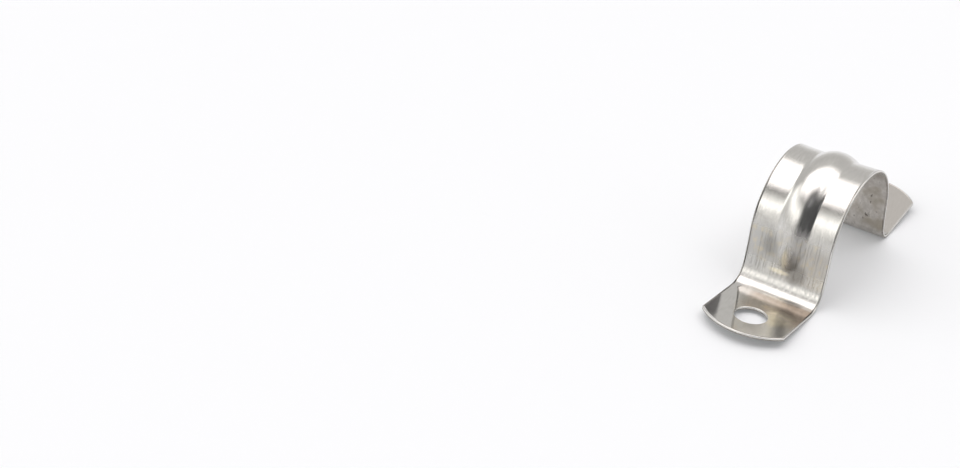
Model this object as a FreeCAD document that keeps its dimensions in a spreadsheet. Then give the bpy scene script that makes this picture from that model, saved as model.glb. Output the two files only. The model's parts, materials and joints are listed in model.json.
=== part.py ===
import FreeCAD, Part
import math
import os
import Sketcher

# Conduit strap: one strip of stainless sheet, stamped and folded into an arch for a
# round pipe with a foot at each side for a screw. It is a single solid.
#
# Frame, in millimetres: the strap stands on the seat plane z = 0, the pipe's axis runs
# along Y above the origin, and the two feet point to -X and +X. The half at -X is
# modelled, and the other half is its mirror image.

SIZES = {
    "band_width": 20.0,
    "sheet_thickness": 0.7,
    "arch_inner_radius": 15.0,
    "arch_inner_height": 25.8,
    "leg_lean": 4.5,
    "foot_bend_radius": 4.8,
    "toe_lift": 7.0,
    "hole_spacing": 63.6,
    "hole_diameter": 7.4,
    "hole_to_tip": 8.6,
    "end_bow": 4.6,
    "corner_radius": 0.6,
    "rib_width": 7.0,
    "rib_height": 1.1,
    "rib_crease_radius": 3.0,
    "edge_chamfer": 0.12,
}

# How far the raw block and the cutting shapes pass the finished faces
OVERRUN = 2.0
# Two faces that turn by less than this, in degrees, count as one smooth surface
SMOOTH_ANGLE = 3.0
# Two lengths closer than this are equal
TOUCH = 1e-4

# Sketcher's numbers for the points of a line or an arc, and for the sketch's axes
START, END, CENTRE = range(1, 4)
HORIZONTAL_AXIS, VERTICAL_AXIS = range(-1, -3, -1)
ORIGIN_POINT = (HORIZONTAL_AXIS, START)

doc = FreeCAD.newDocument("conduit_strap")
sheet = doc.addObject("Spreadsheet::Sheet", "sizes")
for row, (alias, number) in enumerate(SIZES.items(), start=1):
    sheet.set("A%d" % row, alias)
    sheet.set("B%d" % row, str(number))
    sheet.setAlias("B%d" % row, alias)
doc.recompute()

body = doc.addObject("PartDesign::Body", "strap_body")
body.Label = "strap"


def size(alias):
    """The number that the sheet holds under this name."""
    return float(sheet.get(alias))


def vec(x, y, z=0.0):
    return FreeCAD.Vector(x, y, z)


def origin_plane(role):
    """The body's own origin plane of that name."""
    return next(f for f in body.Origin.OriginFeatures if f.Role == role)


# Sketches


def new_sketch(name, role):
    sketch = body.newObject("Sketcher::SketchObject", name)
    sketch.AttachmentSupport = [(origin_plane(role), "")]
    sketch.MapMode = "FlatFace"
    return sketch


def add_line(sketch, first, last):
    return sketch.addGeometry(Part.LineSegment(first, last))


def add_arc(sketch, centre, radius, first_angle, last_angle):
    circle = Part.Circle(centre, vec(0, 0, 1), radius)
    return sketch.addGeometry(Part.ArcOfCircle(circle, first_angle, last_angle))


def fix(sketch, kind, *parts):
    sketch.addConstraint(Sketcher.Constraint(kind, *parts))


def close_loop(sketch, *pairs):
    """Each pair of end points becomes one point."""
    for pair in pairs:
        fix(sketch, "Coincident", *pair)


def drive(sketch, kind, parts, number, name, formula):
    """A named dimension of the sketch, bound to a formula in the sheet's sizes."""
    index = sketch.addConstraint(Sketcher.Constraint(kind, *parts, number))
    sketch.renameConstraint(index, name)
    sketch.setExpression("Constraints." + name, formula)


def side_points(skin):
    """Corners and centres of the half strap's side view, for the surface that lies
    skin away from the pipe's side of the sheet."""
    lean = math.radians(size("leg_lean"))
    lift = math.radians(size("toe_lift"))
    inner_bend = size("foot_bend_radius")
    outer_bend = inner_bend + size("sheet_thickness")
    arch_radius = size("arch_inner_radius") + skin
    bend_radius = outer_bend - skin
    out_of_leg = vec(-math.cos(lean), math.sin(lean))
    down_leg = vec(-math.sin(lean), -math.cos(lean))
    out_of_foot = vec(math.sin(lift), math.cos(lift))
    along_foot = vec(-math.cos(lift), math.sin(lift))

    arch_centre = vec(0, size("arch_inner_height") - size("arch_inner_radius"))
    beside_arch = arch_centre + out_of_leg * (arch_radius + bend_radius)
    bend_centre = beside_arch + down_leg * ((beside_arch.y - outer_bend) / math.cos(lean))
    foot_start = bend_centre - out_of_foot * bend_radius
    reach = size("hole_spacing") / 2 + size("hole_to_tip") + OVERRUN
    return {
        "lean": lean,
        "lift": lift,
        "arch_centre": arch_centre,
        "arch_radius": arch_radius,
        "crown": arch_centre + vec(0, arch_radius),
        "leg_top": arch_centre + out_of_leg * arch_radius,
        "leg_bottom": bend_centre - out_of_leg * bend_radius,
        "bend_centre": bend_centre,
        "bend_radius": bend_radius,
        "foot_start": foot_start,
        "foot_end": foot_start + along_foot * ((reach + foot_start.x) / math.cos(lift)),
        "reach": reach,
    }


def side_sketch(name, skin, skin_formula, depth):
    """Closed side view of all that lies under one surface of the half strap: foot,
    bend, leg and arch, each tangent to the next, then straight down and back."""
    at = side_points(skin)
    low_middle = vec(0, -depth)
    low_end = vec(-at["reach"], -depth)

    sketch = new_sketch(name, "XZ_Plane")
    foot = add_line(sketch, at["foot_end"], at["foot_start"])
    bend = add_arc(sketch, at["bend_centre"], at["bend_radius"],
                   1.5 * math.pi - at["lift"], 2 * math.pi - at["lean"])
    leg = add_line(sketch, at["leg_bottom"], at["leg_top"])
    arch = add_arc(sketch, at["arch_centre"], at["arch_radius"], math.pi / 2, math.pi - at["lean"])
    middle = add_line(sketch, at["crown"], low_middle)
    bottom = add_line(sketch, low_middle, low_end)
    outside = add_line(sketch, low_end, at["foot_end"])

    fix(sketch, "Tangent", foot, END, bend, START)
    fix(sketch, "Tangent", bend, END, leg, START)
    fix(sketch, "Tangent", leg, END, arch, END)
    close_loop(sketch, (arch, START, middle, START), (middle, END, bottom, START),
               (bottom, END, outside, START), (outside, END, foot, START))
    fix(sketch, "PointOnObject", arch, CENTRE, VERTICAL_AXIS)
    fix(sketch, "PointOnObject", arch, START, VERTICAL_AXIS)
    fix(sketch, "Vertical", middle)
    fix(sketch, "Horizontal", bottom)
    fix(sketch, "Vertical", outside)
    fix(sketch, "DistanceY", bottom, START, *ORIGIN_POINT, depth)

    drive(sketch, "Radius", (arch,), at["arch_radius"], "arch_radius",
          "sizes.arch_inner_radius + " + skin_formula)
    drive(sketch, "Radius", (bend,), at["bend_radius"], "bend_radius",
          "sizes.foot_bend_radius + sizes.sheet_thickness - " + skin_formula)
    drive(sketch, "DistanceY", (*ORIGIN_POINT, arch, CENTRE), at["arch_centre"].y, "arch_centre",
          "sizes.arch_inner_height - sizes.arch_inner_radius")
    drive(sketch, "DistanceY", (*ORIGIN_POINT, bend, CENTRE), at["bend_centre"].y, "bend_centre",
          "sizes.foot_bend_radius + sizes.sheet_thickness")
    drive(sketch, "Angle", (leg,), math.pi / 2 - at["lean"], "leg_slope",
          "90 deg - sizes.leg_lean * 1 deg")
    drive(sketch, "Angle", (foot,), -at["lift"], "foot_slope",
          "-sizes.toe_lift * 1 deg")
    drive(sketch, "DistanceX", (foot, START, *ORIGIN_POINT), at["reach"], "reach",
          "sizes.hole_spacing / 2 + sizes.hole_to_tip + %s" % OVERRUN)
    return sketch


CREST_RADIUS = "(sizes.rib_width^2 / 4 + sizes.rib_height^2) / (2 * sizes.rib_height)"


def rib_sketch(name, skin, skin_formula):
    """Cross-section of the rib at the crown: the arc of its crest, closed by a straight
    floor inside the sheet. The one at skin 0 is the rib's back, a sheet's thickness
    below its front, about the same centre. The sketch's origin lies on the pipe's axis."""
    sheet_thickness = size("sheet_thickness")
    outer_radius = size("arch_inner_radius") + sheet_thickness
    front_radius = (size("rib_width") ** 2 / 4 + size("rib_height") ** 2) / (2 * size("rib_height"))
    centre = vec(0, outer_radius + size("rib_height") - front_radius)
    radius = front_radius - sheet_thickness + skin
    floor = size("arch_inner_radius") - sheet_thickness / 2 + skin
    half_floor = math.sqrt(radius ** 2 - (floor - centre.y) ** 2)
    rise = math.atan2(floor - centre.y, half_floor)

    sketch = new_sketch(name, "YZ_Plane")
    sketch.setExpression("AttachmentOffset.Base.y",
                         "sizes.arch_inner_height - sizes.arch_inner_radius")
    crest = add_arc(sketch, centre, radius, rise, math.pi - rise)
    base = add_line(sketch, vec(-half_floor, floor), vec(half_floor, floor))
    close_loop(sketch, (crest, START, base, END), (crest, END, base, START))
    fix(sketch, "PointOnObject", crest, CENTRE, VERTICAL_AXIS)
    fix(sketch, "Horizontal", base)

    drive(sketch, "Radius", (crest,), radius, "crest_radius",
          CREST_RADIUS + " - sizes.sheet_thickness + " + skin_formula)
    drive(sketch, "DistanceY", (*ORIGIN_POINT, crest, CENTRE), centre.y, "crest_centre",
          "sizes.arch_inner_radius + sizes.sheet_thickness + sizes.rib_height - " + CREST_RADIUS)
    drive(sketch, "DistanceY", (*ORIGIN_POINT, base, START), floor, "floor",
          "sizes.arch_inner_radius - sizes.sheet_thickness / 2 + " + skin_formula)
    return sketch


def foot_sketch(name):
    """An empty sketch in the plane of the foot, which is tilted by the toe lift. Its
    origin is where the screw's axis meets the seat plane, and the tip lies at -X."""
    sketch = new_sketch(name, "XY_Plane")
    tilt = FreeCAD.Rotation(vec(0, 1, 0), size("toe_lift"))
    sketch.AttachmentOffset = FreeCAD.Placement(vec(0, 0), tilt)
    sketch.setExpression("AttachmentOffset.Base.x", "-sizes.hole_spacing / 2")
    sketch.setExpression("AttachmentOffset.Rotation.Angle", "sizes.toe_lift * 1 deg")
    return sketch


END_RADIUS = "(sizes.band_width^2 / 4 + sizes.end_bow^2) / (2 * sizes.end_bow)"


def foot_end_sketch(name):
    """Everything beyond the bowed end of the foot."""
    half_width = size("band_width") / 2
    bow = size("end_bow")
    tip = size("hole_to_tip")
    end_radius = (half_width ** 2 + bow ** 2) / (2 * bow)
    half_opening = math.atan2(half_width, end_radius - bow)
    far = tip + 2 * OVERRUN

    sketch = foot_sketch(name)
    bowed = add_arc(sketch, vec(end_radius - tip, 0), end_radius,
                    math.pi - half_opening, math.pi + half_opening)
    right = add_line(sketch, vec(bow - tip, -half_width), vec(-far, -half_width))
    outside = add_line(sketch, vec(-far, -half_width), vec(-far, half_width))
    left = add_line(sketch, vec(-far, half_width), vec(bow - tip, half_width))
    close_loop(sketch, (bowed, END, right, START), (right, END, outside, START),
               (outside, END, left, START), (left, END, bowed, START))
    fix(sketch, "Horizontal", right)
    fix(sketch, "Vertical", outside)
    fix(sketch, "Horizontal", left)
    fix(sketch, "PointOnObject", bowed, CENTRE, HORIZONTAL_AXIS)
    fix(sketch, "Symmetric", bowed, START, bowed, END, HORIZONTAL_AXIS)

    drive(sketch, "Radius", (bowed,), end_radius, "end_radius", END_RADIUS)
    drive(sketch, "DistanceX", (*ORIGIN_POINT, bowed, CENTRE), end_radius - tip, "end_centre",
          END_RADIUS + " - sizes.hole_to_tip")
    drive(sketch, "DistanceY", (bowed, END, bowed, START), 2 * half_width, "end_width",
          "sizes.band_width")
    drive(sketch, "DistanceX", (outside, START, *ORIGIN_POINT), far, "far",
          "sizes.hole_to_tip + %s" % (2 * OVERRUN))
    return sketch


def hole_sketch(name):
    sketch = foot_sketch(name)
    hole = sketch.addGeometry(Part.Circle(vec(0, 0), vec(0, 0, 1), size("hole_diameter") / 2))
    close_loop(sketch, (hole, CENTRE, *ORIGIN_POINT))
    drive(sketch, "Diameter", (hole,), size("hole_diameter"), "hole_diameter", "sizes.hole_diameter")
    return sketch


# Features


def ring(name, kind, profile):
    """The rib's cross-section turned about the pipe's axis, from the crown down the
    half at -X until all of it lies inside the leg."""
    feature = body.newObject(kind, name)
    feature.Profile = profile
    feature.ReferenceAxis = (profile, ["H_Axis"])
    feature.Reversed = True
    feature.setExpression(
        "Angle",
        "90 deg - sizes.leg_lean * 1 deg + acos(sizes.arch_inner_radius"
        " / (sizes.arch_inner_radius + sizes.sheet_thickness + sizes.rib_height))")
    doc.recompute()
    return feature


def cut_through(name, profile):
    """A cut along the profile's normal, all the way through to both sides."""
    feature = body.newObject("PartDesign::Pocket", name)
    feature.Profile = profile
    feature.Type = "ThroughAll"
    feature.SideType = "Symmetric"
    doc.recompute()
    return feature


def sharp_edges(shape):
    """The name, edge and faces of each edge where two faces meet at an angle. The cut
    face of the half strap, at x = 0, has none of its own."""
    found = []
    for number, edge in enumerate(shape.Edges, start=1):
        faces = shape.ancestorsOfType(edge, Part.Face)
        on_middle = all(abs(point.X) < TOUCH for point in edge.Vertexes)
        if len(faces) != 2 or on_middle:
            continue
        middle = edge.valueAt((edge.FirstParameter + edge.LastParameter) / 2)
        normals = [face.normalAt(*face.Surface.parameter(middle)) for face in faces]
        if normals[0].getAngle(normals[1]) > math.radians(SMOOTH_ANGLE):
            found.append(("Edge%d" % number, edge, faces))
    return found


def ring_edges(shape, profile):
    """Edges along which the ring of this profile meets the band."""
    crest_radius = profile.getDatum("crest_radius").Value
    names = []
    for name, edge, faces in sharp_edges(shape):
        crests = [f.Surface.MinorRadius for f in faces if isinstance(f.Surface, Part.Toroid)]
        if len(crests) == 1 and abs(crests[0] - crest_radius) < TOUCH:
            names.append(name)
    return names


def corner_edges(shape):
    """The two short edges through the sheet at the foot's corners."""
    half_width = size("band_width") / 2
    beyond = size("hole_spacing") / 2 + size("hole_to_tip") - size("end_bow") - size("sheet_thickness")
    names = []
    for name, edge, faces in sharp_edges(shape):
        on_side = all(abs(abs(point.Y) - half_width) < TOUCH for point in edge.Vertexes)
        through = abs(edge.Length - size("sheet_thickness")) < TOUCH
        if on_side and through and edge.CenterOfMass.x < -beyond:
            names.append(name)
    return names


def dressing(kind, dimension, name, base, edges, formula):
    feature = body.newObject(kind, name)
    feature.Base = (base, edges)
    feature.setExpression(dimension, formula)
    body.Tip = feature
    doc.recompute()
    return feature


def rounding(name, base, edges, formula):
    return dressing("PartDesign::Fillet", "Radius", name, base, edges, formula)


def bevel(name, base, edges, formula):
    return dressing("PartDesign::Chamfer", "Size", name, base, edges, formula)


# A block whose top is the strap's outer surface

outer_block = body.newObject("PartDesign::Pad", "outer_block")
outer_block.Profile = side_sketch("outer_side", size("sheet_thickness"), "sizes.sheet_thickness", OVERRUN)
outer_block.SideType = "Symmetric"
outer_block.setExpression("Length", "sizes.band_width")

# The embossed rib is a round ring about the pipe's axis. Each leg runs straight down
# from the arch while the ring goes on curving in, so the rib sinks into the leg and
# ends there in a rounded nose.

rib_front = rib_sketch("rib_front", size("sheet_thickness"), "sizes.sheet_thickness")
rib = ring("rib", "PartDesign::Revolution", rib_front)
rib_creases = rounding("rib_creases", rib, ring_edges(rib.Shape, rib_front), "sizes.rib_crease_radius")

# The space below the sheet is cut away last, so the buried ends of the rib leave
# no lump there. The channel behind the rib keeps the sheet at one thickness.

inside = cut_through("inside", side_sketch("inner_side", 0.0, "0", 2 * OVERRUN))
rib_back = rib_sketch("rib_back", 0.0, "0")
channel = ring("channel", "PartDesign::Groove", rib_back)
channel_lips = rounding("channel_lips", channel, ring_edges(channel.Shape, rib_back),
                        "sizes.rib_crease_radius + sizes.sheet_thickness")

# The foot: its bowed end, its screw hole and its two corners

foot_end = cut_through("foot_end", foot_end_sketch("foot_end_shape"))
screw_hole = cut_through("screw_hole", hole_sketch("hole_shape"))
foot_corners = rounding("foot_corners", screw_hole, corner_edges(screw_hole.Shape),
                        "sizes.corner_radius")

# The other half, and the small bevel that deburring leaves on every cut edge

both_halves = body.newObject("PartDesign::Mirrored", "both_halves")
both_halves.TransformMode = "Whole shape"
both_halves.MirrorPlane = (origin_plane("YZ_Plane"), [""])
body.Tip = both_halves
doc.recompute()
soft_edges = bevel("soft_edges", both_halves,
                   [name for name, edge, faces in sharp_edges(both_halves.Shape)],
                   "sizes.edge_chamfer")

# Checks before anything is written


def check_strap():
    for item in doc.Objects:
        if {"Invalid", "Error"} & set(item.State):
            raise RuntimeError("%s could not be built: %s" % (item.Name, item.State))
    for adds, feature, base in (
            (True, rib, outer_block),
            (True, rib_creases, rib),
            (False, inside, rib_creases),
            (False, channel, inside),
            (False, channel_lips, channel),
            (False, foot_end, channel_lips),
            (False, screw_hole, foot_end),
            (False, foot_corners, screw_hole),
            (True, both_halves, foot_corners),
            (False, soft_edges, both_halves)):
        if (feature.Shape.Volume > base.Shape.Volume) != adds:
            raise RuntimeError("%s changed the shape the wrong way" % feature.Name)
    shape = body.Shape
    if shape.isNull() or not shape.isValid() or len(shape.Solids) != 1:
        raise RuntimeError("the strap is not one valid solid")


check_strap()
os.makedirs("parts", exist_ok=True)
body.Shape.exportStep("parts/%s.step" % body.Label)
box = body.Shape.optimalBoundingBox()
print("strap: %.2f x %.2f x %.2f mm, lowest point %.4f, volume %.1f mm3"
      % (box.XLength, box.YLength, box.ZLength, box.ZMin, body.Shape.Volume))
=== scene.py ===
import json
import math
from types import SimpleNamespace

import bmesh
import bpy
import numpy as np
from mathutils import Matrix, Vector


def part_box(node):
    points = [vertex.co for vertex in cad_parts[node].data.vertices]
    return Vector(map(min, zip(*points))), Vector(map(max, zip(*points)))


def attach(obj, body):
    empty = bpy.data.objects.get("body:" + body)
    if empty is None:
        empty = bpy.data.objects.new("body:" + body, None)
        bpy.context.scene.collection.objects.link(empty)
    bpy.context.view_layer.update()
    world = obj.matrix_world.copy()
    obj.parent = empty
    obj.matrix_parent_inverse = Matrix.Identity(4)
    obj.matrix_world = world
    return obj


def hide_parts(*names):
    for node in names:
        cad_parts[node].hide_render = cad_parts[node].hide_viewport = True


# Conduit strap of bright stainless sheet, stamped and folded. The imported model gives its
# box, its pipe seat and its screw holes. Everything is in metres.

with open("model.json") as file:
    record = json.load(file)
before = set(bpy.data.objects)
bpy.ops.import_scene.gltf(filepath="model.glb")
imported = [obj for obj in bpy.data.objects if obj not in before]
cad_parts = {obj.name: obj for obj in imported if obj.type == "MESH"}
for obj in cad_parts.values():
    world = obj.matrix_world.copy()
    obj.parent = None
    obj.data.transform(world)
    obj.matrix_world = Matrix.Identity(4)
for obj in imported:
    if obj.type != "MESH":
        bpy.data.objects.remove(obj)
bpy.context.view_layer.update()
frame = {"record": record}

MM = 0.001
mounts = {mount["name"]: mount for mount in frame["record"]["mounts"]}


# The strap's sizes

SHEET = 0.7 * MM
LEG_LEAN = math.radians(4.5)
HOLE_TO_TIP = 8.6 * MM
END_BOW = 4.6 * MM
CORNER_RADIUS = 0.6 * MM
RIB_WIDTH = 7.0 * MM
CREASE_BLEND = 0.45 * MM
ARCH_DISH = 0.22 * MM

pipe_seat = mounts["pipe_seat"]
screw_hole = mounts["screw_hole_front"]
ARCH_RADIUS = pipe_seat["dims"]["r_mm"] * MM
PIPE_AXIS_HEIGHT = pipe_seat["pos_m"][2]
HOLE_RADIUS = screw_hole["dims"]["r_mm"] * MM
TOE_LIFT = math.atan2(abs(screw_hole["axis"][0]), screw_hole["axis"][2])
RIB_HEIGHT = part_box("strap")[1].z - PIPE_AXIS_HEIGHT - ARCH_RADIUS - SHEET
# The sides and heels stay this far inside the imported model's box
KEPT_INSIDE = 0.003 * MM
HALF_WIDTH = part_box("strap")[1].y - KEPT_INSIDE

# A punched edge: rolled over where the punch went in, a smooth land, then a torn part
# that leans in to a small broken corner

ROLLOVER = 0.20 * MM
ROLLOVER_DEPTH = 0.14 * MM
TORN_DEPTH = 0.32 * MM
TORN_SET_IN = 0.03 * MM
BROKEN_CORNER = 0.06 * MM


# The folded sheet: its middle layer, laid out flat, has s along the strip from the crown
# and y across it

MIDDLE_RADIUS = ARCH_RADIUS + SHEET / 2
ARCH_TURN = math.pi / 2 - LEG_LEAN
DISH_FADE = 6.0 * MM
BEND_TURN = ARCH_TURN + TOE_LIFT
ARCH_LENGTH = MIDDLE_RADIUS * ARCH_TURN

# The leg flares out a little before the tight part of the foot's bend: length in mm and
# turn in degrees of each arc
BEND_ARCS = ((7.6, 9.5), (3.55, 37.0), (1.75, 26.0), (1.9, 20.0))
BEND_LENGTH = sum(length for length, turn in BEND_ARCS) * MM
BEND_STRETCHES = [(length * MM, -BEND_TURN * turn / sum(arc[1] for arc in BEND_ARCS))
                  for length, turn in BEND_ARCS]


def facing(angle):
    return np.stack([np.cos(angle), np.sin(angle)], -1)


def folded(reach, stretches):
    """(x and z, outward normal) at this distance from the crown along stretches that each
    have a length and the angle they turn by."""
    place = np.zeros(reach.shape + (2,))
    place[..., 1] = PIPE_AXIS_HEIGHT + MIDDLE_RADIUS
    angle = np.full(reach.shape, math.pi / 2)
    start = 0.0
    for length, turn in stretches:
        run = np.clip(reach - start, 0.0, length)
        if turn:
            radius = length / turn
            place += radius * (facing(angle + run / radius) - facing(angle))
            angle = angle + run / radius
        else:
            place += run[..., None] * facing(angle + math.pi / 2)
        start += length
    return place, facing(angle)


def leg_length():
    """The straight run between the arch and the bend over which the heel's underside
    comes down to the floor."""
    reach = np.linspace(ARCH_LENGTH, ARCH_LENGTH + BEND_LENGTH, 4001)
    place, normal = folded(reach, [(ARCH_LENGTH, ARCH_TURN)] + BEND_STRETCHES)
    underside = place - SHEET / 2 * normal
    return (underside[:, 1].min() - KEPT_INSIDE) / math.cos(LEG_LEAN)


LEG_LENGTH = leg_length()
BEND_START = ARCH_LENGTH + LEG_LENGTH
FOOT_START = BEND_START + BEND_LENGTH
STRETCHES = [(ARCH_LENGTH, ARCH_TURN), (LEG_LENGTH, 0.0)] + BEND_STRETCHES + [(1.0, 0.0)]


def side_view(s):
    """(x and z, outward normal) of the plain folded sheet at distance s from the crown.
    Positive s runs down to the foot at -X."""
    place, normal = folded(np.abs(s), STRETCHES)
    side = np.where(s < 0, -1.0, 1.0)
    place[..., 0] *= side
    normal[..., 0] *= side
    return place, normal


HOLE_START = side_view(np.array(FOOT_START))[0]
HOLE_AT = FOOT_START + math.hypot(screw_hole["pos_m"][0] - HOLE_START[0],
                                  screw_hole["pos_m"][2] - HOLE_START[1])


def smooth_step(value, low, high):
    t = np.clip((value - low) / (high - low), 0.0, 1.0)
    return t * t * (3 - 2 * t)


def sheet_rise(s, y):
    """How far the sheet lies outside its plain fold. The rolled arch is dished a little
    between its edges. The embossed rib is a ring about the pipe's axis, so it sinks into
    the straight leg and ends in a soft nose."""
    fade = smooth_step(ARCH_LENGTH - np.abs(s), 0.0, DISH_FADE)
    dish = -ARCH_DISH * (1 - (y / HALF_WIDTH) ** 2) * fade
    crest_radius = (RIB_WIDTH ** 2 / 4 + RIB_HEIGHT ** 2) / (2 * RIB_HEIGHT) - SHEET / 2
    centre = MIDDLE_RADIUS + RIB_HEIGHT - crest_radius
    crest = centre + np.sqrt(np.maximum(crest_radius ** 2 - y ** 2, 0.0))
    below_arch = np.maximum(np.abs(s) - ARCH_LENGTH, 0.0)
    rise = np.sqrt(np.maximum(crest ** 2 - below_arch ** 2, 0.0)) - MIDDLE_RADIUS
    overlap = np.maximum(CREASE_BLEND - np.abs(rise - dish), 0.0) / CREASE_BLEND
    return np.maximum(rise, dish) + overlap ** 2 * CREASE_BLEND / 4


def middle_layer(s, y):
    place, normal = side_view(s)
    place = place + sheet_rise(s, y)[..., None] * normal
    return np.stack([place[..., 0], y, place[..., 1]], -1)


def on_sheet(s, y, out):
    """The point that lies out above the middle layer, along the sheet's own normal."""
    step = 1e-3 * MM
    along = middle_layer(s + step, y) - middle_layer(s - step, y)
    across = middle_layer(s, y + step) - middle_layer(s, y - step)
    normal = np.cross(across, along)
    normal /= np.linalg.norm(normal, axis=-1, keepdims=True)
    return middle_layer(s, y) + out * normal


# The blank's outline, as points with outward normals

FOLD = FOOT_START + 1.5 * MM
SPACING = 0.36 * MM
HOLE_RINGS = 20


def steps(length):
    return max(2, round(length / SPACING))


def straight_edge(first, last, normal):
    along = np.linspace(0, 1, steps(math.dist(first, last)) + 1)[:, None]
    points = np.array(first) + along * (np.array(last) - np.array(first))
    return points, np.tile(normal, (len(points), 1))


def round_edge(centre, radius, first, last, least=0):
    count = max(steps(abs(last - first) * radius), least)
    normals = facing(np.linspace(first, last, count + 1))
    return np.array(centre) + radius * normals, normals


def foot_outline():
    """The foot's edge from the fold at -y round its bowed end to the fold at +y."""
    tip = HOLE_AT + HOLE_TO_TIP
    end_radius = (HALF_WIDTH ** 2 + END_BOW ** 2) / (2 * END_BOW)
    end_centre = tip - end_radius
    corner_y = HALF_WIDTH - CORNER_RADIUS
    corner_s = end_centre + math.sqrt((end_radius - CORNER_RADIUS) ** 2 - corner_y ** 2)
    opening = math.atan2(corner_y, corner_s - end_centre)
    parts = (
        straight_edge((FOLD, -HALF_WIDTH), (corner_s, -HALF_WIDTH), (0, -1)),
        round_edge((corner_s, -corner_y), CORNER_RADIUS, -math.pi / 2, -opening, least=6),
        round_edge((end_centre, 0), end_radius, -opening, opening),
        round_edge((corner_s, corner_y), CORNER_RADIUS, opening, math.pi / 2, least=6),
        straight_edge((corner_s, HALF_WIDTH), (FOLD, HALF_WIDTH), (0, 1)),
    )
    points = np.concatenate([parts[0][0]] + [part[0][1:] for part in parts[1:]])
    normals = np.concatenate([parts[0][1]] + [part[1][1:] for part in parts[1:]])
    return points, normals


BAND_S = np.linspace(-FOLD, FOLD, 2 * steps(FOLD) + 1)
BAND_SHARES = np.linspace(-1, 1, steps(2 * HALF_WIDTH) + 1)
FOOT_EDGE, FOOT_EDGE_NORMALS = foot_outline()


def band_face(inset):
    """Grid over one face of the sheet between the two folds."""
    return np.stack(np.meshgrid(BAND_S, BAND_SHARES * (HALF_WIDTH - inset), indexing="ij"), -1)


def foot_face(inset):
    """Rings from the hole out to the foot's edge and the fold."""
    fold = np.stack([np.full(len(BAND_SHARES), FOLD), BAND_SHARES[::-1] * (HALF_WIDTH - inset)], -1)
    outer = np.concatenate([FOOT_EDGE - inset * FOOT_EDGE_NORMALS, fold[1:]])
    centre = np.array([HOLE_AT, 0.0])
    spokes = outer - centre
    inner = centre + spokes / np.linalg.norm(spokes, axis=1, keepdims=True) * (HOLE_RADIUS + inset)
    share = np.linspace(0, 1, HOLE_RINGS + 1)[:, None, None]
    return inner + share * (outer - inner)


# The mesh


def edge_profile():
    """(set in from the edge, height above the middle layer) down a punched edge."""
    half = SHEET / 2
    profile = []
    for angle in np.linspace(math.pi / 2, 0, 6):
        profile.append((ROLLOVER * (1 - math.cos(angle)), half - ROLLOVER_DEPTH * (1 - math.sin(angle))))
    profile.append((0.0, TORN_DEPTH - half))
    for angle in np.linspace(0, -math.pi / 2, 4):
        profile.append((TORN_SET_IN + BROKEN_CORNER * (1 - math.cos(angle)),
                        -half + BROKEN_CORNER * (1 + math.sin(angle))))
    return profile


class Patches:
    """Collects grids of points as quads, each with its place on the flat blank."""

    def __init__(self):
        self.points = []
        self.blank = []
        self.faces = []
        self.materials = []
        self.count = 0

    def add(self, flat, height, material, turned=False):
        """flat is a grid of (s, y), height its distance above the middle layer."""
        rows, columns = flat.shape[:2]
        height = np.broadcast_to(height, (rows, columns))
        self.points.append(on_sheet(flat[..., 0], flat[..., 1], height[..., None]).reshape(-1, 3))
        self.blank.append(np.concatenate([flat, height[..., None]], -1).reshape(-1, 3))
        number = self.count + np.arange(rows * columns).reshape(rows, columns)
        quads = np.stack([number[:-1, :-1], number[1:, :-1], number[1:, 1:], number[:-1, 1:]], -1)
        quads = quads.reshape(-1, 4)
        self.faces.append(quads[:, ::-1] if turned else quads)
        self.materials.append(np.full(len(quads), material))
        self.count += rows * columns


def mirrored(flat):
    return flat * np.array([-1.0, 1.0])


def edge_strip(points, normals):
    profile = edge_profile()
    flat = np.stack([points - inset * normals for inset, height in profile])
    heights = np.array([height for inset, height in profile])[:, None]
    return flat, heights


def strap_mesh():
    patches = Patches()
    rolled, cut = 0, 1
    profile = edge_profile()
    for turned, (inset, height) in ((False, profile[0]), (True, profile[-1])):
        patches.add(band_face(inset), height, rolled, turned)
        rings = foot_face(inset)
        patches.add(rings, height, rolled, turned)
        patches.add(mirrored(rings), height, rolled, not turned)

    for side in (-1, 1):
        points = np.stack([BAND_S, np.full(len(BAND_S), side * HALF_WIDTH)], -1)
        flat, heights = edge_strip(points, np.tile((0.0, side), (len(points), 1)))
        patches.add(flat, heights, cut, side < 0)
    foot_strip, heights = edge_strip(FOOT_EDGE, FOOT_EDGE_NORMALS)
    patches.add(foot_strip, heights, cut, True)
    patches.add(mirrored(foot_strip), heights, cut, False)
    inner = foot_face(0.0)[0]
    spokes = inner - np.array([HOLE_AT, 0.0])
    hole_strip, heights = edge_strip(inner, -spokes / HOLE_RADIUS)
    patches.add(hole_strip, heights, cut, False)
    patches.add(mirrored(hole_strip), heights, cut, True)

    points = np.concatenate(patches.points)
    blank = np.concatenate(patches.blank)
    faces = np.concatenate(patches.faces)
    mesh = bpy.data.meshes.new("folded_sheet")
    mesh.from_pydata(points.tolist(), [], faces.tolist())
    mesh.attributes.new("blank", "FLOAT_VECTOR", "POINT").data.foreach_set("vector", blank.ravel())
    mesh.polygons.foreach_set("material_index", np.concatenate(patches.materials))
    mesh.shade_smooth()
    return mesh


def weld(mesh):
    """Joins the patches where they meet."""
    work = bmesh.new()
    work.from_mesh(mesh)
    bmesh.ops.remove_doubles(work, verts=work.verts, dist=1e-3 * MM)
    work.to_mesh(mesh)
    work.free()


mesh = strap_mesh()
weld(mesh)
strap = bpy.data.objects.new("folded_strap", mesh)
bpy.context.scene.collection.objects.link(strap)
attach(strap, "root")
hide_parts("strap")


# Materials and light are built from small pieces of arithmetic


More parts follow.
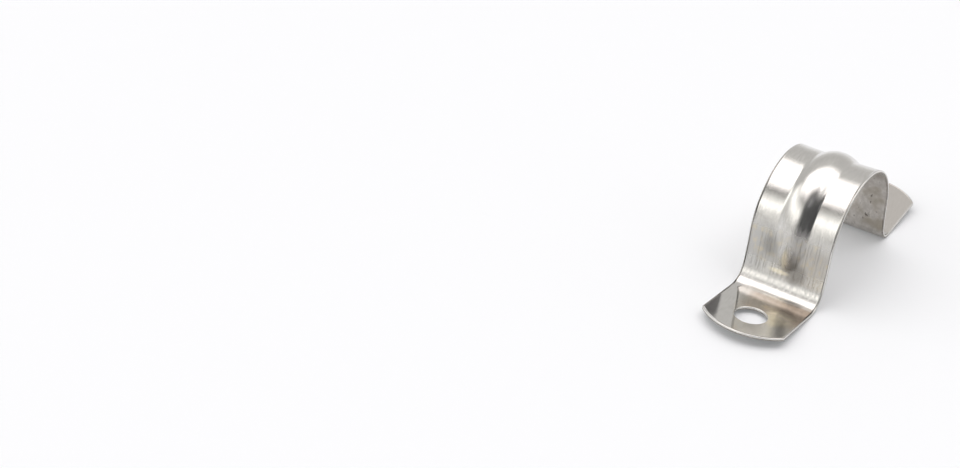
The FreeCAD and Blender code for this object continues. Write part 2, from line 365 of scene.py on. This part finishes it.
class Wire:
    """A value in a node tree. Arithmetic on it adds the Math nodes that work it out."""

    def __init__(self, tree, socket=None):
        self.tree = tree
        self.socket = socket

    def node(self, kind, settings, sockets, output=0):
        """Adds a node of any kind and gives one of its outputs."""
        made = self.tree.nodes.new(kind)
        for name, value in settings.items():
            setattr(made, name, value)
        for name, value in sockets.items():
            if isinstance(value, Wire):
                self.tree.links.new(value.socket, made.inputs[name])
            else:
                made.inputs[name].default_value = value
        return Wire(self.tree, made.outputs[output])

    def maths(self, operation, *values):
        return self.node("ShaderNodeMath", {"operation": operation}, dict(enumerate(values)))

    def __add__(self, other):
        return self.maths("ADD", self, other)

    def __radd__(self, other):
        return self.maths("ADD", other, self)

    def __sub__(self, other):
        return self.maths("SUBTRACT", self, other)

    def __rsub__(self, other):
        return self.maths("SUBTRACT", other, self)

    def __mul__(self, other):
        return self.maths("MULTIPLY", self, other)

    def __rmul__(self, other):
        return self.maths("MULTIPLY", other, self)

    def __truediv__(self, other):
        return self.maths("DIVIDE", self, other)

    def __rtruediv__(self, other):
        return self.maths("DIVIDE", other, self)

    def __abs__(self):
        return self.maths("ABSOLUTE", self)

    def split(self):
        """The three parts of a vector."""
        first = self.node("ShaderNodeSeparateXYZ", {}, {0: self})
        return [Wire(self.tree, output) for output in first.socket.node.outputs]

    def rise(self, low, high):
        """0 below low, 1 above high and a smooth step between them."""
        return self.node("ShaderNodeMapRange", {"interpolation_type": "SMOOTHSTEP"},
                         {"Value": self, "From Min": low, "From Max": high})

    def fall(self, low, high):
        return 1.0 - self.rise(low, high)

    def tint(self, red, green, blue):
        """A colour of this brightness."""
        return self.node("ShaderNodeCombineXYZ", {}, {0: self * red, 1: self * green, 2: self * blue})

    def blend(self, first, last):
        """Goes from the first colour to the last as this value goes from 0 to 1."""
        return self.node("ShaderNodeMix", {"data_type": "RGBA"}, {0: self, 6: first, 7: last}, 2)


def noise(x, y, z, scale, detail, roughness=0.5):
    place = x.node("ShaderNodeCombineXYZ", {}, {0: x, 1: y, 2: z})
    return x.node("ShaderNodeTexNoise", {},
                  {"Vector": place, "Scale": scale, "Detail": detail, "Roughness": roughness})


def new_material(name):
    material = bpy.data.materials.new(name)
    material.use_nodes = True
    return material, material.node_tree.nodes["Principled BSDF"]


def join(wire, shader, name):
    wire.tree.links.new(wire.socket, shader.inputs[name])


def blank_place(tree):
    """(s, y, height) on the flat blank, in millimetres."""
    place = Wire(tree).node("ShaderNodeAttribute", {"attribute_name": "blank"}, {}, "Vector")
    return place.node("ShaderNodeVectorMath", {"operation": "SCALE"}, {0: place, "Scale": 1 / MM}).split()


def spot(s, y, at_s, at_y, long, wide):
    """A soft round patch on the blank, 1 in its middle."""
    across = (y - at_y) / wide
    along = (s - at_s) / long
    return (across * across + along * along).fall(0.0, 1.0)


# Colours of the sheet's outer face, its inner face and its cut edges

CLEAN_DARK, CLEAN_BRIGHT = (0.60, 0.59, 0.565, 1), (0.72, 0.70, 0.675, 1)
RUBBED_DULL = (0.53, 0.525, 0.505, 1)
DIE_LINE = (0.36, 0.345, 0.32, 1)
STRAW_TINT = (0.72, 0.64, 0.48, 1)
LEG_DARK_PATCH = (0.22, 0.21, 0.195, 1)
GLINT = (0.95, 0.88, 0.68, 1)
# Painted reflections on the front foot: a brown shade, a darker brown corner and a pale highlight
PAINTED_BROWN_REFLECTION = (0.43, 0.36, 0.29, 1)
PAINTED_DARK_REFLECTION = (0.27, 0.22, 0.18, 1)
PAINTED_HIGHLIGHT = (0.93, 0.86, 0.72, 1)
BACK_FOOT = (0.64, 0.585, 0.54, 1)
INSIDE_DARK, INSIDE_BRIGHT = (0.53, 0.50, 0.465, 1), (0.69, 0.66, 0.625, 1)
STAIN = (0.40, 0.355, 0.29, 1)
PIT = (0.17, 0.15, 0.13, 1)
# Near-black painted contact shadow for the inner face by the floor
PAINTED_CONTACT_SHADOW = (0.10, 0.095, 0.09, 1)
LAND_DARK, LAND_BRIGHT = (0.66, 0.645, 0.62, 1), (0.76, 0.75, 0.725, 1)
TORN_DARK, TORN_BRIGHT = (0.22, 0.205, 0.185, 1), (0.58, 0.55, 0.50, 1)

# Single marks on the blank: s and y of the middle, then how far it reaches along each,
# in millimetres

RIB_NOSE = (24.5, 0.3, 4.5, 2.4)
NOSE_GLINT = (26.2, 0.2, 3.2, 0.9)
CRESCENT_GLINT = (29.9, 1.2, 0.8, 3.2)
UPPER_DARK_PATCH = (24.5, 4.0, 3.2, 3.0)
LOWER_DARK_PATCH = (29.2, -2.7, 3.4, 3.4)
# A painted highlight on the front foot
PAINTED_HIGHLIGHT_SPOT = (45.3, -5.2, 4.6, 4.2)

FACE_RELIEF = 0.014 * MM
EDGE_RELIEF = 0.03 * MM


def sheet_grains(s, y, height):
    """The random patterns of rolled and pressed sheet."""
    return SimpleNamespace(
        hairlines=noise(s * 0.05, y, height, 9.0, 3.0, 0.6),
        fine=noise(s * 0.12, y, height, 42.0, 1.0),
        cloud=noise(s, y, height, 0.16, 3.0),
        patches=noise(s, y * 1.3, height, 0.55, 4.0, 0.6),
        die_lines=noise(s * 0.035, y, height, 2.1, 6.0, 0.75).rise(0.50, 0.64),
        speckle=noise(s, y, height, 3.2, 2.0),
        streaks=noise(s * 0.4, y, height, 1.5, 3.0, 0.65),
    )


def press_zones(s, y):
    """Where the press frosted, rubbed and combed the sheet."""
    reach = abs(s)
    off_nose = 1.0 - 0.75 * spot(reach, y, *RIB_NOSE)
    return SimpleNamespace(
        reach=reach,
        frosted=reach.rise(19.0, 22.0) * reach.fall(27.0, 30.0) * off_nose,
        rubbed_leg=reach.rise(19.0, 22.0) * reach.fall(30.0, 32.0),
        combed=reach.rise(13.0, 21.0) * reach.fall(33.4, 35.0),
        rubbed_rib=reach.rise(8.0, 11.0) * reach.fall(20.0, 24.0) * abs(y).fall(2.6, 3.6),
        rubbed_foot=s.rise(39.0, 42.0) * y.fall(-3.0, 1.0),
    )


def leg_colour(s, y, grain, zone):
    """Bright hairlined sheet, dulled and lined down the legs, with straw-tinted patches.
    The front leg has two soft dark patches and two glints about the rib's nose."""
    clean = grain.hairlines.rise(0.25, 0.75).blend(CLEAN_DARK, CLEAN_BRIGHT)
    dull = (zone.rubbed_leg * (0.25 + 0.5 * y.rise(-3.0, 5.0))).blend(clean, RUBBED_DULL)
    drawn = (grain.die_lines * zone.rubbed_leg * 0.75).blend(dull, DIE_LINE)
    tinted = (grain.patches.rise(0.46, 0.72) * zone.frosted * 0.6).blend(drawn, STRAW_TINT)
    # Two soft dark patches on the front leg about the rib's nose.
    dark_patches = spot(s, y, *UPPER_DARK_PATCH) * 0.45 + spot(s, y, *LOWER_DARK_PATCH) * 0.70
    glint = spot(s, y, *NOSE_GLINT) * 0.6 + spot(s, y, *CRESCENT_GLINT) * 0.55
    return (glint * (0.4 + 1.0 * grain.streaks)).blend(dark_patches.blend(tinted, LEG_DARK_PATCH), GLINT)


def foot_colour(s, y, grain, leg):
    """The front foot carries a painted brown reflection from its bend on, darker in one
    corner, and a painted highlight patch. The back foot is a little darker than the legs."""
    # Painted dark brown reflection on the front foot from its bend on, strongest towards -y.
    painted_brown_reflection = s.rise(36.4, 37.6) * s.fall(43.0, 50.0) * y.fall(3.0, 6.0)
    painted_brown_reflection = painted_brown_reflection * (0.95 - 0.3 * y.rise(-6.0, 2.0)) * (0.75 + 0.5 * grain.streaks)
    # Painted darker reflection in the front foot's -y corner by the bend.
    corner = s.rise(35.8, 37.0) * s.fall(42.0, 45.0) * y.fall(-6.0, -2.0) * 0.6
    # Painted highlight: a pale patch on the front foot.
    painted_highlight = spot(s, y, *PAINTED_HIGHLIGHT_SPOT) * (0.6 + 0.4 * grain.patches.rise(0.4, 0.6))
    front_foot = painted_highlight.blend(corner.blend(painted_brown_reflection.blend(leg, PAINTED_BROWN_REFLECTION), PAINTED_DARK_REFLECTION), PAINTED_HIGHLIGHT)
    return (s.fall(-38.0, -36.0) * 0.5).blend(front_foot, BACK_FOOT)


def inside_colour(grain, reach):
    """The duller side against the pipe, stained and pitted, with painted contact shadow near the floor."""
    plain = grain.patches.rise(0.35, 0.7).blend(INSIDE_DARK, INSIDE_BRIGHT)
    stained = (grain.cloud.rise(0.46, 0.64) * 0.8).blend(plain, STAIN)
    pitted = (grain.streaks * grain.patches).rise(0.34, 0.42).blend(stained, PIT)
    # Painted contact shadow: the inner face turns near black from the bend on, towards the floor.
    return (reach.rise(34.5, 36.5) * 0.9).blend(pitted, PAINTED_CONTACT_SHADOW)


def add_relief(wire, shader, depth):
    """Bumps the surface by this pattern."""
    bump = wire.node("ShaderNodeBump", {}, {"Strength": 1.0, "Distance": depth, "Height": wire})
    join(bump, shader, "Normal")


def rolled_face():
    material, shader = new_material("rolled_face")
    s, y, height = blank_place(material.node_tree)
    outside = height.rise(-0.1, 0.1)
    grain = sheet_grains(s, y, height)
    zone = press_zones(s, y)

    front = foot_colour(s, y, grain, leg_colour(s, y, grain, zone))
    join(outside.blend(inside_colour(grain, zone.reach), front), shader, "Base Color")
    shader.inputs["Metallic"].default_value = 1.0

    front_roughness = 0.035 + (0.02 + 0.09 * grain.cloud) * zone.reach.fall(34.0, 38.0)
    front_roughness = front_roughness + zone.frosted * (0.22 + 0.14 * grain.patches)
    front_roughness = front_roughness + zone.rubbed_rib * (0.04 + 0.14 * grain.patches)
    front_roughness = front_roughness + zone.rubbed_foot * 0.17
    back_roughness = 0.36 + 0.12 * grain.speckle
    join(back_roughness + outside * (front_roughness - back_roughness), shader, "Roughness")

    combed = zone.combed * outside
    smoother_foot = 1.0 - 0.75 * s.rise(36.0, 39.0)
    lines = grain.hairlines * (0.42 + 1.8 * combed) + grain.fine * 0.35
    add_relief(lines * smoother_foot + grain.die_lines * combed * 0.6, shader, FACE_RELIEF)
    return material


def punched_edge():
    material, shader = new_material("punched_edge")
    s, y, height = blank_place(material.node_tree)
    torn = height.fall(-0.06, 0.02)
    grit = noise(s, y, height, 5.0, 3.0, 0.6)
    burnish = noise(s, y, height * 0.1, 3.0, 2.0)
    land = burnish.rise(0.3, 0.7).blend(LAND_DARK, LAND_BRIGHT)
    broken = grit.rise(0.45, 0.65).blend(TORN_DARK, TORN_BRIGHT)
    join(torn.blend(land, broken), shader, "Base Color")
    shader.inputs["Metallic"].default_value = 1.0
    join(0.24 + 0.26 * torn, shader, "Roughness")
    add_relief(burnish * 0.2 + grit * torn, shader, EDGE_RELIEF)
    return material


WASHED_OUT = 0.17


def floor_paper():
    """White paper, a little washed out where the camera or a glossy face sees it. It
    lights the strap as plain white paper does."""
    material, shader = new_material("floor_paper")
    shader.inputs["Base Color"].default_value = (0.90, 0.92, 0.945, 1)
    shader.inputs["Roughness"].default_value = 0.8
    shader.inputs["Specular IOR Level"].default_value = 0.1
    start = Wire(material.node_tree)
    seen = start.node("ShaderNodeLightPath", {}, {}, "Is Camera Ray")
    for kind in ("Is Glossy Ray", "Is Transmission Ray"):
        seen = seen + start.node("ShaderNodeLightPath", {}, {}, kind)
    glow = start.node("ShaderNodeEmission", {}, {"Color": (0.985, 0.99, 1.0, 1), "Strength": 1.0})
    paper = Wire(material.node_tree, shader.outputs[0])
    both = start.node("ShaderNodeMixShader", {}, {0: seen * WASHED_OUT, 1: paper, 2: glow})
    join(both, material.node_tree.nodes["Material Output"], "Surface")
    return material


def grey_card():
    material, shader = new_material("grey_card")
    shader.inputs["Base Color"].default_value = (0.30, 0.30, 0.305, 1)
    shader.inputs["Roughness"].default_value = 0.9
    return material


mesh.materials.append(rolled_face())
mesh.materials.append(punched_edge())


# The studio: a white floor, a large softbox overhead, a bright wall at the left, grey walls
# round about and a dark bay behind the camera


def around(x, y, azimuth):
    """The angle round the zenith from this azimuth, in degrees."""
    turn = math.radians(azimuth)
    ahead = x * math.cos(turn) + y * math.sin(turn)
    aside = y * math.cos(turn) - x * math.sin(turn)
    return aside.maths("ARCTAN2", aside, ahead) * (180 / math.pi)


def studio():
    world = bpy.data.worlds.new("studio")
    world.use_nodes = True
    background = world.node_tree.nodes["Background"]
    x, y, z = Wire(world.node_tree).node("ShaderNodeTexCoord", {}, {}, "Generated").split()

    walls = 0.82 - 0.15 * z.rise(-0.02, 0.28) + 0.08 * z.rise(0.4, 0.8)
    notch = abs(z - 0.797).fall(0.008, 0.040)
    lit_wall = 0.76 + 1.15 * z.rise(0.20, 0.46) - 1.10 * z.rise(0.50, 0.72) - 0.80 * notch
    beside = abs(around(x, y, 133.0)).fall(40.0, 52.0)
    light = beside.blend(walls.tint(1.0, 0.99, 0.975), lit_wall.tint(1.0, 0.99, 0.965))
    up = z.maths("MAXIMUM", z, 0.05)
    right_edge = ((x + 0.40 * y) / up).fall(0.64, 0.80)
    left_edge = ((0.25 * y - x) / up).fall(0.48, 0.70)
    overhead = right_edge * left_edge * abs(y / up - 0.15).fall(0.77, 0.87)
    light = overhead.blend(light, (2.05, 1.97, 1.95, 1))
    dark_bay = abs(around(x, y, -147.0)).fall(34.0, 41.0) * z.fall(0.93, 0.985)
    gleam = abs(around(x, y, -151.0)).fall(5.0, 18.0) * abs(z - 0.80).fall(0.02, 0.08)
    light = dark_bay.blend(light, (0.10 + 0.45 * gleam).tint(1.0, 1.0, 1.03))
    join(light, background, "Color")
    return world


def staged_sheet(name, corners, material):
    sheet = bpy.data.meshes.new(name)
    sheet.from_pydata(corners, [], [(0, 1, 2, 3)])
    sheet.materials.append(material)
    thing = bpy.data.objects.new(name, sheet)
    bpy.context.scene.collection.objects.link(thing)
    return thing


FLOOR_HALF = 3.0
staged_sheet("floor", [(-FLOOR_HALF, -FLOOR_HALF, 0), (FLOOR_HALF, -FLOOR_HALF, 0),
                       (FLOOR_HALF, FLOOR_HALF, 0), (-FLOOR_HALF, FLOOR_HALF, 0)], floor_paper())

# Only reflections show these: a small upright grey card beside the strap, and a large
# grey one that lies on the floor in front, just above the paper

SIDE_CARD_Y = 0.0202
SIDE_CARD_X = (-0.014, 0.0)
SIDE_CARD_TOP = 0.019
FRONT_CARD_HEIGHT = 0.0002
FRONT_CARD_CORNERS = ((-0.052, -0.111), (-0.122, 0.011), (-1.095, 0.096), (-0.465, -0.996))

card_grey = grey_card()
side_corners = [(SIDE_CARD_X[0], SIDE_CARD_Y, 0.0), (SIDE_CARD_X[1], SIDE_CARD_Y, 0.0),
                (SIDE_CARD_X[1], SIDE_CARD_Y, SIDE_CARD_TOP), (SIDE_CARD_X[0], SIDE_CARD_Y, SIDE_CARD_TOP)]
front_corners = [(x, y, FRONT_CARD_HEIGHT) for x, y in FRONT_CARD_CORNERS]
cards = (staged_sheet("side_card", side_corners, card_grey),
         staged_sheet("front_card", front_corners, card_grey))
for card in cards:
    card.visible_camera = False
    card.visible_diffuse = False
    card.visible_shadow = False
    card.visible_transmission = False
bpy.context.scene.world = studio()

CAMERA_AZIMUTH = math.radians(-54.748)
CAMERA_ELEVATION = math.radians(32.882)
CAMERA_ROLL = math.radians(1.636)
CAMERA_PLACE = Vector((-0.289119, -0.108223, 0.197595))
LENS = 56.93

backwards = Vector((math.sin(CAMERA_AZIMUTH) * math.cos(CAMERA_ELEVATION),
                    -math.cos(CAMERA_AZIMUTH) * math.cos(CAMERA_ELEVATION),
                    math.sin(CAMERA_ELEVATION)))
camera = bpy.data.objects.new("camera", bpy.data.cameras.new("camera"))
bpy.context.scene.collection.objects.link(camera)
camera.data.lens = LENS
camera.data.clip_start = 0.01
camera.matrix_world = (Matrix.Translation(CAMERA_PLACE)
                       @ backwards.to_track_quat("Z", "Y").to_matrix().to_4x4()
                       @ Matrix.Rotation(CAMERA_ROLL, 4, "Z"))
bpy.context.scene.camera = camera
bpy.context.scene.view_settings.view_transform = "Standard"
